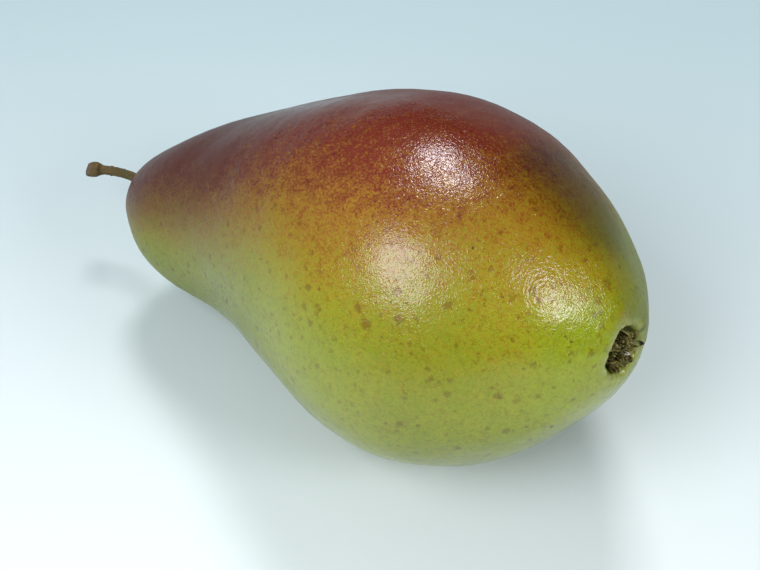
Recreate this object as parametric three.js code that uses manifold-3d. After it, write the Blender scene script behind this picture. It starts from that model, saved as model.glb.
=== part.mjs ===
// A ripe pear lying on its side: the fruit, its stem and the dried calyx in the crown.
// Millimetres, +Z up. The fruit's own axis runs from the neck tip (0) to the crown (LENGTH), nearly
// along +X and a little upwards; the pear rests on a small flat spot at z = 0.

import * as THREE from 'three';
import { mergeVertices } from 'three/addons/utils/BufferGeometryUtils.js';
import Module from 'manifold-3d';

const wasm = await Module();
wasm.setup();

// ---- The fruit ------------------------------------------------------------------------------
const LENGTH = 115;                       // neck tip to crown
const TILT = THREE.MathUtils.degToRad(14); // the crown end is raised by this much
const AXIS_HEIGHT = 35.7;                 // the axis above the table, at PIVOT
const PIVOT = 0.6 * LENGTH;

// Half of the lengthwise section as control points of a smooth curve: [along the axis, radius].
const BODY = [
  [0, 0], [0, 7.4], [1.9, 9.5], [11, 17.8], [23.6, 21.7], [36.8, 25.9], [51.8, 32.7],
  [66.7, 36.7], [81.7, 35.1], [95.5, 28.7], [107, 18.1],
  [112.1, 10.6], [113.9, 6.6], [113.5, 4.4], [111, 4], [108.6, 3.9], // over the rim, into the basin
];
const RIM = 12;                           // the control point on the crown's rim

// The axis wanders: sideways and upwards offsets at even steps along it.
const SIDEWAYS = [-14.5, -4.4, -0.7, 2.1, 0, 0, 2.6];
const UPWARDS = [-0.7, -0.3, 2, -0.5, 0, 0, 1.6];

// The neck tip leans: its rings slide this far towards the stem, fading out at NOSE_RADIUS.
const NOSE = [2.9, 3.4];
const NOSE_RADIUS = 19.7;
const DIMPLE = 0.7, DIMPLE_RADIUS = 3;  // the hollow round the stem

const SWELL = 0.38, OVAL = 0.28;          // unevenness of the flesh, three-sided and two-sided
const LOBE = 0.42;                        // five low lobes round the crown
const BELLY = 1.13;                       // fullness of the underside

const RINGS_PER_STEP = 5, FRUIT_SIDES = 64;

// ---- The stem -------------------------------------------------------------------------------
const STEM_RADIUS = 1, KNOB_RADIUS = 1.8;
const STEM_OUT = 15.9, STEM_IN = 4.7;     // lengths outside and inside the fruit
const STEM_HOLE = [1.35, 5];              // radius and depth
const STEM_SIDE = [0.9, -6];              // bend to the side: square and cube terms at the tip
const STEM_RISE = [2.7, -0.35];           // and upwards
const KNOB_LENGTH = 2.8;                  // the part of the stem with closer rings
const SHAFT_STEPS = 16, KNOB_STEPS = 8;
const BREAK_SLANT = 1, BREAK_TURN = 2; // how far, and to which side, the broken end slants

// ---- The calyx ------------------------------------------------------------------------------
const GAP = 0.3;                          // clearance between neighbours
const DISC_RADIUS = 3.5, DISC_THICK = 1.1;
const BLADE = 0.8;                        // thickness of a sepal
// Each sepal: direction round the crown (degrees), root width, and its line as [radius, height].
const SEPALS = [
  { turn: -15, width: 2, line: [[2.7, 0.7], [3.05, 2.2], [3.4, 4], [4, 5.3], [5.2, 5.9]] },
  { turn: 55, width: 3, line: [[2.7, 0.7], [3.1, 2.2], [3.45, 3.8], [3.2, 5.2], [2.2, 5.9]] },
  { turn: 128, width: 3.1, line: [[2.7, 0.7], [3.1, 2.2], [3.4, 3.6], [2.7, 4.8], [1.3, 4.9]] },
  { turn: 202, width: 3.2, line: [[2.7, 0.7], [3.1, 2.1], [3.45, 3.7], [3.1, 5], [1.9, 5.2]] },
  { turn: 275, width: 3, line: [[2.7, 0.7], [3.1, 2.2], [3.4, 3.5], [2.5, 4.4], [1.2, 4.1]] },
];
const STAMENS = 10, STAMEN_RADIUS = 0.36;

// ---- Shared geometry ------------------------------------------------------------------------
const WELD = 1e-4;                        // vertices closer than this are one

// A uniform cubic B-spline through its first and last control point, at t from 0 to 1.
function curve(controls, t) {
  const last = controls.length - 1;
  const u = THREE.MathUtils.clamp(t, 0, 1) * last;
  const i = Math.min(Math.floor(u), last - 1);
  const f = u - i;
  const at = (k, c) => (k < 0 ? 2 * controls[0][c] - controls[1][c]
    : k > last ? 2 * controls[last][c] - controls[last - 1][c] : controls[k][c]);
  const weights = [(1 - f) ** 3, 3 * f ** 3 - 6 * f ** 2 + 4, -3 * f ** 3 + 3 * f ** 2 + 3 * f + 1, f ** 3];
  return controls[0].map((_, c) => weights.reduce((sum, w, k) => sum + w * at(i - 1 + k, c), 0) / 6);
}

const AXIS = SIDEWAYS.map((y, k) => [y, UPWARDS[k]]);
const axisOffset = (along) => curve(AXIS, along / LENGTH);

// How far the skin stands off the round section, by place along the axis (0..1), angle and radius.
function unevenness(s, angle, radius) {
  const flesh = Math.min(1, radius / 18.9) ** 2;
  const under = Math.max(0, 0.5 - 0.5 * Math.sin(angle)) ** 5;
  return flesh * SWELL * Math.sin(3 * angle + 1.3 + 2 * s) * Math.sin(Math.PI * s)
    + flesh * OVAL * Math.cos(2 * angle - 0.6 + 3 * s)
    + flesh * LOBE * Math.cos(5 * angle + 0.8) * Math.exp(-(((s - 0.93) / 0.05) ** 2))
    + BELLY * under * Math.exp(-(((s - 0.4) / 0.16) ** 2));
}

// Merged, without the zero-area triangles that lie along a lathe's axis, and with fresh normals.
function welded(geometry) {
  geometry.deleteAttribute('normal');
  geometry.deleteAttribute('uv');
  const merged = mergeVertices(geometry, WELD);
  const index = merged.index.array;
  const kept = [];
  for (let i = 0; i < index.length; i += 3) {
    const [a, b, c] = [index[i], index[i + 1], index[i + 2]];
    if (a !== b && b !== c && c !== a) kept.push(a, b, c);
  }
  merged.setIndex(kept);
  merged.computeVertexNormals();
  return merged;
}

function solid(geometry) {
  const merged = welded(geometry);
  return new wasm.Manifold(new wasm.Mesh({
    numProp: 3,
    vertProperties: Float32Array.from(merged.attributes.position.array),
    triVerts: Uint32Array.from(merged.index.array),
  }));
}

function fromSolid(body) {
  const { vertProperties, triVerts } = body.getMesh();
  const geometry = new THREE.BufferGeometry();
  geometry.setAttribute('position', new THREE.BufferAttribute(new Float32Array(vertProperties), 3));
  geometry.setIndex(new THREE.BufferAttribute(new Uint32Array(triVerts), 1));
  geometry.computeVertexNormals();
  return geometry;
}

// A lathed profile of [along, radius] whose vertex i, j (side, ring) is then placed by a formula.
function lathed(profile, sides, place) {
  const geometry = new THREE.LatheGeometry(profile.map(([along, radius]) => new THREE.Vector2(radius, along)), sides);
  const position = geometry.attributes.position;
  for (let i = 0; i <= sides; i += 1) {
    const angle = (2 * Math.PI * (i % sides)) / sides;
    profile.forEach((ring, j) => position.setXYZ(i * profile.length + j, ...place(ring, angle)));
  }
  return geometry;
}

// Small differences between like pieces come from one seeded sequence.
let seed = 7;
function random() {
  seed = (seed * 16807) % 2147483647;
  return seed / 2147483647;
}

// ---- Placing --------------------------------------------------------------------------------
const lean = new THREE.Euler(0, -TILT, 0);

function placed(mesh, along, side, up) {
  mesh.position.set(along - PIVOT, side, up).applyEuler(lean);
  mesh.position.z += AXIS_HEIGHT;
  mesh.rotation.copy(lean);
  return mesh;
}

// ---- The fruit: body, stem hole, crown basin and the flat spot it lies on ---------------------
function fruit() {
  const steps = BODY.length - 1;
  const [holeRadius, holeDepth] = STEM_HOLE;
  const rings = [[holeDepth, 0, 0], [holeDepth, holeRadius, 0], [1.2, holeRadius, 0]];
  for (let k = 0; k <= steps * RINGS_PER_STEP; k += 1) {
    const [along, radius] = curve(BODY, k / (steps * RINGS_PER_STEP));
    const atNeck = k < steps * RINGS_PER_STEP / 2;
    if (atNeck && radius < holeRadius + 0.5) continue;
    const dimple = atNeck ? DIMPLE * Math.exp(-((radius / DIMPLE_RADIUS) ** 2)) : 0;
    rings.push([along + dimple, radius, k > RIM * RINGS_PER_STEP ? LENGTH : along]);
  }
  rings.push([BODY[steps][0], 0, LENGTH]);

  const rim = curve(BODY, RIM / steps)[0];
  const body = lathed(rings, FRUIT_SIDES, ([along, radius, station], angle) => {
    const outside = station > 0 && station < LENGTH;
    const [side, up] = axisOffset(Math.min(station, rim));
    const nose = along < PIVOT ? Math.max(0, 1 - (radius / NOSE_RADIUS) ** 2) ** 2 : 0;
    const reach = radius + (outside ? unevenness(station / LENGTH, angle, radius) : 0);
    return [
      along - PIVOT,
      side + NOSE[0] * nose + reach * Math.cos(angle),
      up + NOSE[1] * nose + reach * Math.sin(angle),
    ];
  });

  // All that reaches below the table is cut off flat.
  const table = new THREE.BoxGeometry(4 * LENGTH, 4 * LENGTH, 20);
  table.translate(0, 0, -10 - AXIS_HEIGHT);
  table.applyMatrix4(new THREE.Matrix4().makeRotationFromEuler(lean).invert());

  const mesh = new THREE.Mesh(
    fromSolid(solid(body).subtract(solid(table))),
    new THREE.MeshStandardMaterial({ color: 0x97a145, roughness: 0.4, metalness: 0 }),
  );
  mesh.name = 'fruit';
  return placed(mesh, PIVOT, 0, 0);
}

// ---- The stem: a bent stalk with a thick, slanting broken knob --------------------------------
function stem() {
  const length = STEM_IN + STEM_OUT;
  const profile = [[0, 0], [0, 0.75], [0.25, STEM_RADIUS]];
  const shaft = length - KNOB_LENGTH;
  for (let k = 1; k <= SHAFT_STEPS + KNOB_STEPS; k += 1) {
    const along = k <= SHAFT_STEPS
      ? (shaft * k) / SHAFT_STEPS
      : shaft + ((KNOB_LENGTH - 0.3) * (k - SHAFT_STEPS)) / KNOB_STEPS;
    const swell = Math.exp(-(Math.abs((length - 1 - along) / 1.25) ** 3));
    profile.push([along, STEM_RADIUS + (KNOB_RADIUS - STEM_RADIUS) * swell]);
  }
  profile.push([length, 1.2], [length + 0.1, 0]);

  const centre = (out) => {
    const v = Math.max(0, out) / STEM_OUT;
    return new THREE.Vector3(
      -out,
      STEM_SIDE[0] * v ** 2 + STEM_SIDE[1] * v ** 3,
      STEM_RISE[0] * v ** 2 + STEM_RISE[1] * v ** 3,
    );
  };
  const geometry = lathed(profile, 20, ([along, radius], angle) => {
    const out = along - STEM_IN;
    const forward = centre(out + 0.01).sub(centre(out - 0.01)).normalize();
    const across = new THREE.Vector3().crossVectors(new THREE.Vector3(0, 0, 1), forward).normalize();
    const upward = new THREE.Vector3().crossVectors(forward, across);
    const tip = Math.exp(-(((length - along) / 1.6) ** 2));
    const reach = radius * (1 + tip * (0.1 * Math.sin(2 * angle + 0.5) + 0.07 * Math.sin(3 * angle)));
    const slant = BREAK_SLANT * tip * (radius / KNOB_RADIUS) * Math.cos(angle + BREAK_TURN);
    const point = centre(out)
      .addScaledVector(across, reach * Math.cos(angle))
      .addScaledVector(upward, reach * Math.sin(angle))
      .addScaledVector(forward, slant);
    return point.toArray();
  });

  const mesh = new THREE.Mesh(
    welded(geometry),
    new THREE.MeshStandardMaterial({ color: 0x6a5a2c, roughness: 0.75, metalness: 0 }),
  );
  mesh.name = 'stem';
  const [side, up] = axisOffset(0);
  return placed(mesh, 0, side + NOSE[0], up + NOSE[1]);
}

// ---- The calyx: base disc, five dried sepals and withered stamens, grown together --------------
function sepal({ turn, width, line }) {
  const blade = new THREE.BoxGeometry(1, 1, 1, 10, 4, 1);
  const position = blade.attributes.position;
  const twist = 0.25 * (random() - 0.5);
  const wave = 2 * Math.PI * random();
  for (let i = 0; i < position.count; i += 1) {
    const u = position.getX(i) + 0.5;
    const [radius, height] = curve(line, u);
    const [nextRadius, nextHeight] = curve(line, u + 0.01);
    const [lastRadius, lastHeight] = curve(line, u - 0.01);
    const slope = Math.atan2(nextHeight - lastHeight, nextRadius - lastRadius);
    const across = position.getY(i) * (0.9 + (width - 0.9) * Math.cos(0.5 * Math.PI * u ** 1.3));
    const off = position.getZ(i) * BLADE + 0.14 * u * Math.sin(5 * u + 2.5 * across + wave);
    const angle = THREE.MathUtils.degToRad(turn) + across / 4 + twist * u;
    const reach = radius - off * Math.sin(slope);
    position.setXYZ(i, height + off * Math.cos(slope), reach * Math.cos(angle), reach * Math.sin(angle));
  }
  return solid(blade);
}

function stamen(k) {
  const length = 2 + 1.2 * random();
  const angle = (2 * Math.PI * (k + 0.3 * random())) / STAMENS;
  const root = (k % 2 ? 1.7 : 0.8) + 0.15 * random();
  const bend = 0.3 * random();
  const stalk = new THREE.CylinderGeometry(STAMEN_RADIUS * 0.9, STAMEN_RADIUS, length, 5, 3);
  const position = stalk.attributes.position;
  for (let i = 0; i < position.count; i += 1) {
    const v = position.getY(i) / length + 0.5;
    const reach = root + position.getX(i) + bend * v ** 2;
    const sideways = position.getZ(i) + 0.3 * Math.sin(7 * k) * v ** 2;
    position.setXYZ(
      i,
      0.8 + v * length,
      reach * Math.cos(angle) - sideways * Math.sin(angle),
      reach * Math.sin(angle) + sideways * Math.cos(angle),
    );
  }
  return solid(stalk);
}

function calyx() {
  const top = GAP + DISC_THICK;
  const disc = lathed(
    [[GAP, 0], [GAP, DISC_RADIUS - 0.3], [GAP + 0.35, DISC_RADIUS], [top - 0.1, DISC_RADIUS],
      [top + 0.1, DISC_RADIUS - 0.6], [top + 0.3, 0]],
    30,
    ([along, radius], angle) => [along, radius * Math.cos(angle), radius * Math.sin(angle)],
  );
  let body = solid(disc);
  for (const shape of SEPALS) body = body.add(sepal(shape));
  for (let k = 0; k < STAMENS; k += 1) body = body.add(stamen(k));
  // Hollows sealed between crossing pieces come out as shells of their own, and are filled.
  const [outer] = body.decompose().sort((a, b) => b.volume() - a.volume());

  const mesh = new THREE.Mesh(
    fromSolid(outer),
    new THREE.MeshStandardMaterial({ color: 0x4a3d24, roughness: 0.85, metalness: 0 }),
  );
  mesh.name = 'calyx';
  const rim = curve(BODY, RIM / (BODY.length - 1))[0];
  return placed(mesh, BODY[BODY.length - 1][0], ...axisOffset(rim));
}

// ---- The pear, with the middle of its bounding box over the origin ------------------------------
const pear = new THREE.Group();
pear.add(fruit(), stem(), calyx());
const middle = new THREE.Box3().setFromObject(pear, true).getCenter(new THREE.Vector3());
pear.position.set(-middle.x, -middle.y, 0);

export default pear;
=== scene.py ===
"""A ripe pear lying on its side: blushed skin, a bent woody stem and the dried calyx in its crown.

Shapes are worked out in millimetres along the fruit's own axis, from the neck tip (0) to the crown,
then tilted and moved into the frame, which is in metres.
"""

import math

import bpy
import numpy as np
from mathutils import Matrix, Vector


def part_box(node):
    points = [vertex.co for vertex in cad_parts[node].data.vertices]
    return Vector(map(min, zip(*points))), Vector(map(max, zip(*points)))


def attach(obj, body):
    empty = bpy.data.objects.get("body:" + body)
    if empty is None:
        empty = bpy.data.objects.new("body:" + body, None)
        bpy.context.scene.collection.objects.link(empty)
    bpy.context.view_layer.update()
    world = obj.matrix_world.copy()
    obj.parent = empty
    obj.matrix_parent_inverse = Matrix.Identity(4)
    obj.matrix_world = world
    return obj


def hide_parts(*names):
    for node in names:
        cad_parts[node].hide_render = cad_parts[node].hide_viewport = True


bl_info = {
    "name": "Ripe Pear",
    "version": (1, 0, 0),
    "blender": (4, 5, 0),
    "location": "View3D > Sidebar > Pear",
    "description": "Adds a blushed pear with its stem and dried calyx, on a pale studio floor",
    "category": "Add Mesh",
}

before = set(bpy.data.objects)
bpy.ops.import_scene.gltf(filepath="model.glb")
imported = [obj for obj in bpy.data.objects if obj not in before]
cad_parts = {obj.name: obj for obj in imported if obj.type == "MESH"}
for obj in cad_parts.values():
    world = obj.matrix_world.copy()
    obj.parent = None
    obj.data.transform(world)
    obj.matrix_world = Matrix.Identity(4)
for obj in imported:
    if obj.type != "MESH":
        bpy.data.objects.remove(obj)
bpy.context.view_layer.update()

MM = 0.001  # one millimetre in metres

# ---- The fruit's form, as the frame's own fruit is made
LENGTH = 115.0
TILT = math.radians(14)  # the crown end is raised by this much
AXIS_HEIGHT = 35.7  # the axis above the table, at PIVOT
PIVOT = 0.6 * LENGTH

# Half of the lengthwise section as control points of a smooth curve: along the axis, radius.
BODY = (
    (0, 0), (0, 7.4), (1.9, 9.5), (11, 17.8), (23.6, 21.7), (36.8, 25.9), (51.8, 32.7),
    (66.7, 36.7), (81.7, 35.1), (95.5, 28.7), (107, 18.1),
    (112.1, 10.6), (113.9, 6.6), (113.5, 4.4), (111, 4), (108.6, 3.9),
)
RIM_SHARE = 12 / (len(BODY) - 1)  # the place along the curve of the control point on the rim
# How far the axis wanders at even steps along it: sideways, upwards.
AXIS = ((-14.5, -0.7), (-4.4, -0.3), (-0.7, 2), (2.1, -0.5), (0, 0), (0, 0), (2.6, 1.6))
NOSE = (2.9, 3.4)  # the neck tip leans this far towards the stem
NOSE_RADIUS = 19.7
DIMPLE, DIMPLE_RADIUS = 0.7, 3  # the hollow round the stem
SWELL, OVAL, LOBE, BELLY = 0.38, 0.28, 0.42, 1.13  # unevenness of the flesh
FLESH_RADIUS = 18.9  # the unevenness fades out where the fruit is thinner than this
RINGS, SIDES = 312, 304
# The hole that the stem stands in: its radius, and the depth and flare of its rings.
HOLE_RADIUS = 1.2
HOLE = ((5.0, 0), (3.6, 0), (2.4, 0), (1.5, 0.02), (1.1, 0.1), (0.85, 0.26))

# ---- Marks on the skin
# Russet spots: along the axis, degrees round it, radius.
RUSSET_SPOTS = (
    (70.3, 150, 0.62), (73.4, 150, 0.5), (73.2, 148, 0.42), (81.3, 143, 0.75), (83.5, 147, 1.0),
    (88.4, 142, 0.85), (88.1, 160, 0.42), (89.5, -179, 0.5), (96.9, 167, 0.62), (95.4, 170, 0.45),
    (97.2, 161, 0.5), (95.8, 162, 0.4), (89.8, 105, 0.6), (107, 153, 0.5), (103.4, 172, 0.55),
    (105.6, -176, 0.42), (111, -166, 0.5), (112.6, -153, 0.55), (110.7, 144, 0.5),
    (99.5, 144, 0.45), (110, 80, 0.9), (106.4, 84, 0.4), (90.6, 120, 0.5), (76, 131, 0.5),
    (101.2, -170, 0.5), (55, 128, 0.5), (66, 112, 0.55), (62, 134, 0.45), (48, 141, 0.5),
    (110.6, 97, 0.7), (111.6, 103, 0.5), (111.2, 108, 0.6), (112.4, 113, 0.5), (112.6, 122, 0.5),
    (93, 20, 0.9), (84, -25, 0.7), (98, -40, 0.9), (72, -10, 0.6), (60, -35, 0.7), (104, -80, 0.7),
)
# Smaller russet spots scattered by rule: size of their cells, widest radius, how many are left out.
SCATTERED_SPOTS = ((2.9, 0.80, 0.15), (1.6, 0.50, 0.2))
# Healed scratches, each from one place on the skin to another: along, degrees, along, degrees.
SCRATCHES = (
    (108.4, 126.8, 108.35, 129.2), (108.25, 130.4, 108.2, 132.6), (107.3, 127.2, 107.9, 126.2),
    (109.5, 132.2, 109.9, 133.6), (110.2, 134.3, 110.6, 135.6),
)
# Dark specks: along, degrees, radius.
SPECKS = ((107.7, -147, 0.42), (94.2, 112, 0.2), (86.5, 138, 0.14), (79.6, 160, 0.13))
SCRATCH_WIDTH = 0.16
WRINKLE_CENTRE = (105.1, 113)  # along, degrees
WRINKLE_REACH = 7.5
WRINKLE_STEP, RIPPLE_STEP = 0.8, 1.9  # from ring to ring: fine wrinkles, broad ripples
FOLD = (5.5, 9, 1.0)  # a small olive fold on the crown's rim: radius, degrees, size
# The smudge's darkness is partly painted shade.
SMUDGE_SIDE = 58  # an olive smudge beside the crown, degrees round the axis
BLUSH_SIDE = (92, 80, 64, 82)  # degrees round the axis: neck tip, neck, belly, crown
BLUSH_LEAST, BLUSH_MOST = -0.25, 0.96  # on the shaded side, at its heart
WARM_SIDE = 135  # the ground is golden beside the crown here

# ---- The stem, as the frame's own stem is made
STEM_OUT, STEM_IN = 15.9, 4.7  # lengths outside and inside the fruit
STEM_SIDE = (0.9, -6)  # bend to the side: square and cube terms at the tip
STEM_RISE = (2.7, -0.35)  # and upwards
BREAK_SLANT, BREAK_TURN = 1.0, 2.0  # how far, and to which side, the broken end slants
STEM_RINGS, STEM_SIDES, STEM_END_RINGS = 150, 60, 12

# ---- The calyx, as the frame's own calyx is made
GAP = 0.3  # between the bed and the basin's floor
DISC_RADIUS = 3.5
# Each sepal: direction round the crown, root width, and its line as radius, height.
SEPALS = (
    (-15, 1.5, ((2.7, 0.7), (3.05, 2.2), (3.4, 4), (4, 5.3), (5.2, 5.9))),
    (55, 3.0, ((2.7, 0.7), (3.1, 2.2), (3.45, 3.8), (3.2, 5.0), (2.3, 5.4))),
    (128, 3.1, ((2.7, 0.7), (3.1, 2.2), (3.4, 3.6), (2.9, 4.6), (1.8, 4.8))),
    (202, 3.2, ((2.7, 0.7), (3.1, 2.1), (3.45, 3.7), (3.1, 4.7), (2.2, 4.9))),
    (275, 3.0, ((2.7, 0.7), (3.1, 2.2), (3.4, 3.5), (2.6, 4.4), (1.4, 4.3))),
)
STAMENS = 10
THREADS, SHREDS = 44, 99
# pale marks the flakes' painted highlight.
HUSK_FIELDS = ("edge", "fresh", "tip", "pale")
# Flakes painted near-white as painted glints: direction round the crown, line as radius and
# height, width.
FLAKES = (
    (299, ((2.3, 3.4), (2.5, 4.0), (2.8, 4.5), (3.2, 4.8)), 1.0),
    (117, ((1.3, 3.6), (1.4, 4.2), (1.6, 4.8), (2.0, 5.1)), 1.0),
)

# ---- Fixed colours
# OLIVE_TINT darkens the smudge beside the crown, partly as painted shade, and the olive fold.
OLIVE_TINT = (0.50, 0.58, 0.45)
PORE_ON_GREEN, PORE_ON_RED = (0.15, 0.105, 0.008), (0.21, 0.085, 0.030)
# RIM_HIGHLIGHT: a painted highlight on the calyx basin's rim.
SCAB, CORK, RIM_HIGHLIGHT = (0.03, 0.022, 0.012), (0.12, 0.075, 0.03), (0.40, 0.42, 0.13)
WALL, WALL_SHADE = (0.36, 0.38, 0.15), (0.06, 0.045, 0.015)
BROWN_BARK, WART = (0.11, 0.066, 0.018), (0.19, 0.14, 0.07)
LEAF_DARK, LEAF_LIGHT = (0.13, 0.14, 0.035), (0.30, 0.31, 0.12)
BURNT, PAINTED_GLINT = (0.012, 0.009, 0.006), (0.66, 0.62, 0.52)


def in_mm(name, description, default, least, most):
    """A length setting, its numbers in mm."""
    return bpy.props.FloatProperty(
        name=name, description=description, default=default * MM, min=least * MM, max=most * MM,
        precision=6, unit="LENGTH", subtype="DISTANCE")


def tint(name, description, *default):
    """A colour setting."""
    return bpy.props.FloatVectorProperty(
        name=name, description=description, default=default, min=0, max=1, subtype="COLOR")


class FruitSettings(bpy.types.PropertyGroup):
    """Finish of the fruit's skin."""

    dents: in_mm("Dents", "Depth of the broad, shallow dents in the flesh", 0.12, 0, 1)
    pucker: in_mm("Pucker", "Height of the fine unevenness of the gloss", 0.016, 0, 0.2)
    peel: in_mm("Peel", "Height of the waxy grain of the peel", 0.020, 0, 0.2)
    gloss: bpy.props.FloatProperty(
        name="Roughness", description="Roughness of the waxy skin",
        default=0.165, min=0.05, max=1, subtype="FACTOR")
    green: tint("Green", "Skin on the shaded side", 0.238, 0.290, 0.009)
    yellow: tint("Yellow", "Riper skin next to the blush", 0.298, 0.288, 0.009)
    orange: tint("Orange", "The blush where it is thin", 0.280, 0.114, 0.008)
    red: tint("Red", "The blush where it is full", 0.135, 0.010, 0.007)
    russet: tint("Russet", "Tint laid over the skin by corky spots", 0.70, 0.54, 0.02)
    fleck: tint("Fleck", "Tint laid over the skin by fine brownish flecks", 0.80, 0.64, 0.15)


class StemSettings(bpy.types.PropertyGroup):
    """Sizes and colours of the stem."""

    radius: in_mm("Radius", "Radius of the stem's shaft", 1.0, 0.5, 1.1)
    knob_radius: in_mm("Knob radius", "Radius of the thick, broken end", 1.8, 1, 3)
    bark: tint("Bark", "Olive-brown bark", 0.080, 0.060, 0.014)
    scar: tint("Scar", "Pale wood of the broken end", 0.13, 0.085, 0.055)


class CalyxSettings(bpy.types.PropertyGroup):
    """Sizes and colours of the dried calyx."""

    blade: in_mm("Blade", "Thickness of a dried sepal", 0.55, 0.2, 0.8)
    dark: tint("Dark", "Black-brown of the dried tissue", 0.022, 0.017, 0.006)
    olive: tint("Olive", "Olive-brown of the fibres", 0.165, 0.135, 0.024)
    tan: tint("Tan", "Papery, paler edges", 0.44, 0.37, 0.14)


class StageSettings(bpy.types.PropertyGroup):
    """Floor and light."""

    floor: tint("Floor", "Colour of the pale floor on the near side", 0.715, 0.765, 0.755)
    # Painted shade: the far floor's cooler, deeper colour stands for the light's falloff.
    painted_far_floor: tint("Far floor", "Colour of the pale floor on the far side", 0.46, 0.585, 0.61)
    room: tint("Room", "Colour of the light from all round", 0.78, 0.93, 0.97)
    room_strength: bpy.props.FloatProperty(
        name="Room light", description="Strength of the light from all round", default=0.175, min=0)


# ---- Numbers on whole arrays
def spline(controls, t):
    """A uniform cubic B-spline through its first and last control point, at t from 0 to 1.

    Each point is the average of four neighbouring controls, weighted by the cubic B-spline basis.
    """
    controls = np.asarray(controls, float)
    last = len(controls) - 1
    u = np.clip(t, 0, 1) * last
    i = np.minimum(np.floor(u).astype(int), last - 1)
    f = (u - i)[..., None]
    padded = np.vstack([2 * controls[0] - controls[1], controls, 2 * controls[-1] - controls[-2]])
    weights = ((1 - f) ** 3, 3 * f**3 - 6 * f**2 + 4, -3 * f**3 + 3 * f**2 + 3 * f + 1, f**3)
    return sum(w * padded[i + k] for k, w in enumerate(weights)) / 6


def smooth(low, high, x):
    """0 below low, 1 above high, and an S-curve between; low may be the larger."""
    t = np.clip((x - low) / (high - low), 0, 1)
    return t * t * (3 - 2 * t)


def bell(x, centre, width):
    """A bell curve: 1 at its centre, falling with the square of the distance over its width."""
    return np.exp(-(((x - centre) / width) ** 2))


def turns(count):
    """Evenly spaced angles once round, as a row."""
    return np.linspace(0, 2 * np.pi, count, endpoint=False)[None]


def degrees_from(side, angle):
    """How far angles are from a side given in degrees: -180 to 180."""
    return (np.degrees(angle) - side + 180) % 360 - 180


def stacked(*parts):
    """Arrays spread to one shape and stacked as coordinates."""
    return np.stack(np.broadcast_arrays(*parts), -1)


def unit(vectors):
    """Vectors brought to a length of 1."""
    return vectors / np.maximum(np.linalg.norm(vectors, axis=-1, keepdims=True), 1e-9)


def lumps(points, size, seed, waves=28):
    """Soft random unevenness, about -1 to 1: a sum of sine waves of about one length (size, in the
    unit of the points), each in its own random direction and phase."""
    draws = np.random.default_rng(seed)
    direction = unit(draws.normal(size=(waves, 3)))
    rate = 2 * np.pi / (size * draws.uniform(0.7, 1.4, waves))
    phase = draws.uniform(0, 2 * np.pi, waves)
    total = np.zeros(points.shape[:-1])
    for way, speed, start in zip(direction, rate, phase):
        total += np.sin(points @ way * speed + start)
    return total * math.sqrt(2 / waves) / 1.6


def even_steps(curve_points, count, weight):
    """Fractional places along a dense polyline, spaced evenly in length times weight."""
    step = np.linalg.norm(np.diff(curve_points, axis=0), axis=1) * 0.5 * (weight[1:] + weight[:-1])
    run = np.concatenate([[0], np.cumsum(step)])
    return np.interp(np.linspace(0, run[-1], count), run, np.linspace(0, 1, len(run)))


def chances(state=7):
    """A seeded sequence from 0 to 1, as the frame's own calyx draws it."""
    factor, modulus = 16807, 2**31 - 1
    while True:
        state = state * factor % modulus
        yield state / modulus


# ---- Places in the frame
def axis_offset(along):
    """How far the fruit's axis has wandered sideways and upwards, at a place along it."""
    return spline(AXIS, np.asarray(along, float) / LENGTH)


RIM_ALONG = float(spline(BODY, np.array(RIM_SHARE))[0])


def unevenness(s, angle, radius):
    """How far the skin stands off the round section: a three-sided and a two-sided wave round it
    and five low lobes near the crown, all fading out where the fruit is thin, and a fuller
    underside."""
    flesh = np.minimum(1, radius / FLESH_RADIUS) ** 2
    under = np.maximum(0, 0.5 - 0.5 * np.sin(angle)) ** 5
    return (
        flesh * SWELL * np.sin(3 * angle + 1.3 + 2 * s) * np.sin(np.pi * s)
        + flesh * OVAL * np.cos(2 * angle - 0.6 + 3 * s)
        + flesh * LOBE * np.cos(5 * angle + 0.8) * bell(s, 0.93, 0.05)
        + BELLY * under * bell(s, 0.4, 0.16)
    )


def skin_points(along, radius, station, angle):
    """Places on the skin in the fruit's own frame: rings of the given radius about the wandering
    axis, the neck's rings slid towards the stem by the nose's bell curve."""
    offset = axis_offset(np.minimum(station, RIM_ALONG))
    near_tip = np.where(along < PIVOT, np.maximum(0, 1 - (radius / NOSE_RADIUS) ** 2) ** 2, 0)
    outside = (station > 0) & (station < LENGTH)
    reach = radius + np.where(outside, unevenness(station / LENGTH, angle, radius), 0)
    return stacked(
        along - PIVOT,
        offset[..., 0] + NOSE[0] * near_tip + reach * np.cos(angle),
        offset[..., 1] + NOSE[1] * near_tip + reach * np.sin(angle))


def leaned(points):
    """The fruit's own frame tilted up at the crown and raised onto the table, in mm."""
    x, y, z = np.moveaxis(points, -1, 0)
    lean, rise = math.cos(TILT), math.sin(TILT)
    return stacked(lean * x - rise * z, y, rise * x + lean * z + AXIS_HEIGHT)


def over_origin():
    """The shift that puts the plain skin where the frame's own fruit is, in mm."""
    low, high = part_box("fruit")
    along, radius = spline(BODY, np.linspace(0.01, RIM_SHARE, 240)).T[..., None]
    plain = leaned(skin_points(along, radius, along, turns(240)))
    middle = (plain.min((0, 1)) + plain.max((0, 1))) / 2
    return np.array([
        (low.x + high.x) / 2 / MM - middle[0], (low.y + high.y) / 2 / MM - middle[1], 0])


SHIFT = over_origin()


def placed(points, along=PIVOT, side=0, up=0):
    """Points given about a place on the axis, as they stand in the frame, in mm."""
    return leaned(points + np.array([along - PIVOT, side, up])) + SHIFT


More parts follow.
